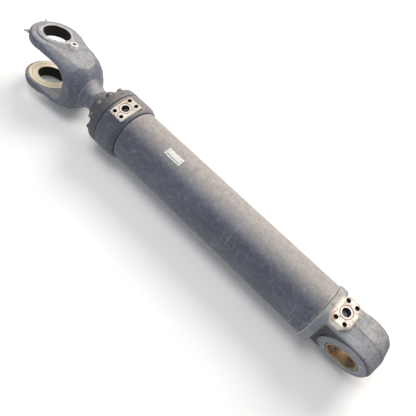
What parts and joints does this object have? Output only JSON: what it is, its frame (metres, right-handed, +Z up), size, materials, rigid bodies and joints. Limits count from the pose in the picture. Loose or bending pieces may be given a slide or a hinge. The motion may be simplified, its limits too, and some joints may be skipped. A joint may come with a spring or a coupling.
{
  "type": "hydraulic cylinder",
  "caption": "Double-acting hydraulic cylinder with welded barrel, bolted gland, flanged oil ports, bushed base eye and a sliding, turning rod that carries a forged fork end",
  "frame": {"origin": "middle of the underside of the box of the cylinder lying down, retracted", "axes": "+X along the barrel to the rod end, +Y to the side, +Z up, the way both oil ports face"},
  "size_m": [1.437, 0.2116, 0.2242],
  "materials": {
    "cylinder_paint": "worn blue-grey satin paint, dusty on top",
    "clevis_paint": "worn blue-grey satin paint on a forging",
    "machined_steel": "bare machined steel with light rust",
    "bolt_steel": "painted over, chipped on the corners",
    "rod_chrome": "hard chrome, ground and polished",
    "cast_iron": "turned, oily",
    "bronze": "tin bronze, oiled and worn",
    "seal_rubber": "nitrile and polyurethane",
    "seal_plastic": "filled plastic",
    "plate_metal": "blank plate"
  },
  "bodies": {
    "barrel": {"barrel_tube": "cylinder_paint", "head_flange": "cylinder_paint", "port_block_head": "machined_steel", "base_cap": "cylinder_paint", "port_block_base": "machined_steel", "base_bushing": "bronze", "gland": "cylinder_paint", "rod_guide_bush": "bronze", "rod_buffer_seal": "seal_plastic", "rod_u_cup": "seal_rubber", "rod_wiper": "seal_rubber", "gland_o_ring": "seal_rubber", "gland_backup_ring": "seal_plastic", "name_plate": "plate_metal", "gland_bolt_01": "bolt_steel", "gland_bolt_02": "bolt_steel", "gland_bolt_03": "bolt_steel", "gland_bolt_04": "bolt_steel", "gland_bolt_05": "bolt_steel", "gland_bolt_06": "bolt_steel", "gland_bolt_07": "bolt_steel", "gland_bolt_08": "bolt_steel", "gland_bolt_09": "bolt_steel", "gland_bolt_10": "bolt_steel", "gland_bolt_11": "bolt_steel", "gland_bolt_12": "bolt_steel", "plate_rivet_1": "machined_steel", "plate_rivet_2": "machined_steel", "plate_rivet_3": "machined_steel", "plate_rivet_4": "machined_steel"},
    "piston_rings": {"piston_wear_ring_rear": "seal_plastic", "piston_seal": "seal_plastic", "piston_wear_ring_front": "seal_plastic"},
    "rod": {"piston_rod": "rod_chrome", "piston": "cast_iron", "piston_nut": "machined_steel", "nut_lock_screw": "bolt_steel", "piston_o_ring": "seal_rubber", "cushion_sleeve": "machined_steel", "clevis": "clevis_paint", "clevis_nipple_tip": "machined_steel", "clevis_nipple_side": "machined_steel", "pin_lock_sleeve": "machined_steel"}
  },
  "joints": [
    {"name": "rod_slide", "type": "slide", "parent": "barrel", "child": "piston_rings", "axis": [1, 0, 0], "range_m": [0, 0.705]},
    {"name": "rod_turn", "type": "hinge", "parent": "piston_rings", "child": "rod", "pos_m": [0, 0, 0.11212], "axis": [1, 0, 0], "continuous": true}
  ]
}
